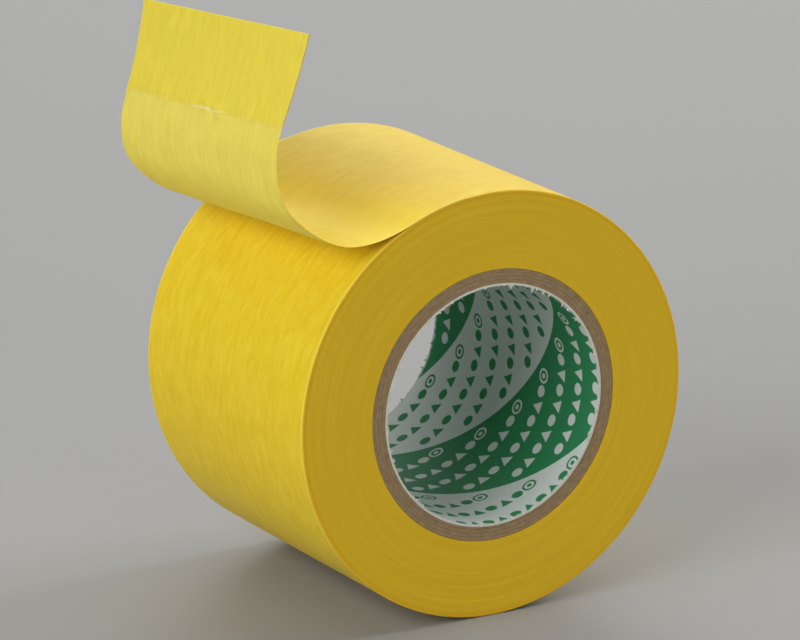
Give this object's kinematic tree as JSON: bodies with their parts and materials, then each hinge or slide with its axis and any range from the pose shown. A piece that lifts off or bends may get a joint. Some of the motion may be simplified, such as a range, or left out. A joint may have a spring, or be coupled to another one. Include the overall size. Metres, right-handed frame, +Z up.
{
  "type": "masking tape roll",
  "caption": "Wide yellow washi masking tape roll on a small spiral-wound board core, its free end peeled, curled back and folded into a grab tab.",
  "frame": {"origin": "the point under the middle of the roll where its rim meets the surface it stands on", "axes": "+Z up, Y along the roll's axis with -Y towards the near end face, X across; the free end lifts off towards -X"},
  "size_m": [0.0605, 0.0416, 0.0806],
  "materials": {
    "tape": "matte",
    "board": "matte",
    "liner": "satin"
  },
  "bodies": {
    "roll": {"core_liner": "liner", "core_ply_1": "board", "core_ply_2": "board", "core_ply_3": "board", "core_ply_4": "board", "wound_tape": "tape"},
    "tail_root": {"tail_root": "tape"},
    "tail_1": {"tail_segment_1": "tape"},
    "tail_2": {"tail_segment_2": "tape"},
    "tail_3": {"tail_segment_3": "tape"},
    "tab": {"grab_tab": "tape", "grab_tab_fold": "tape"}
  },
  "joints": [
    {"name": "unwind", "type": "hinge", "parent": "roll", "child": "tail_root", "pos_m": [0, 0, 0.0285], "axis": [0, 1, 0], "range_deg": [-60, 120]},
    {"name": "peel", "type": "hinge", "parent": "tail_root", "child": "tail_1", "pos_m": [-0.01324, 0, 0.05393], "axis": [-0.0745, 0.9965, -0.0388], "range_deg": [0, 70]},
    {"name": "uncurl_1", "type": "hinge", "parent": "tail_1", "child": "tail_2", "pos_m": [-0.02308, 0, 0.05189], "axis": [0.0399, -0.9983, 0.0435], "range_deg": [-12, 52], "stiffness_Nm_per_rad": 0.0005},
    {"name": "uncurl_2", "type": "hinge", "parent": "tail_2", "child": "tail_3", "pos_m": [-0.03083, 0, 0.05811], "axis": [0.0107, -0.9982, 0.0588], "range_deg": [-12.05, 52.17], "stiffness_Nm_per_rad": 0.0005},
    {"name": "uncurl_3", "type": "hinge", "parent": "tail_3", "child": "tab", "pos_m": [-0.03074, 0, 0.06811], "axis": [-0.0007, -0.9961, 0.0883], "range_deg": [-3.3, 14.27], "stiffness_Nm_per_rad": 0.0005}
  ],
  "couplings": [
    {"joint": "uncurl_2", "follows": "uncurl_1", "ratio": 1.0031},
    {"joint": "uncurl_3", "follows": "uncurl_1", "ratio": 0.2742}
  ]
}
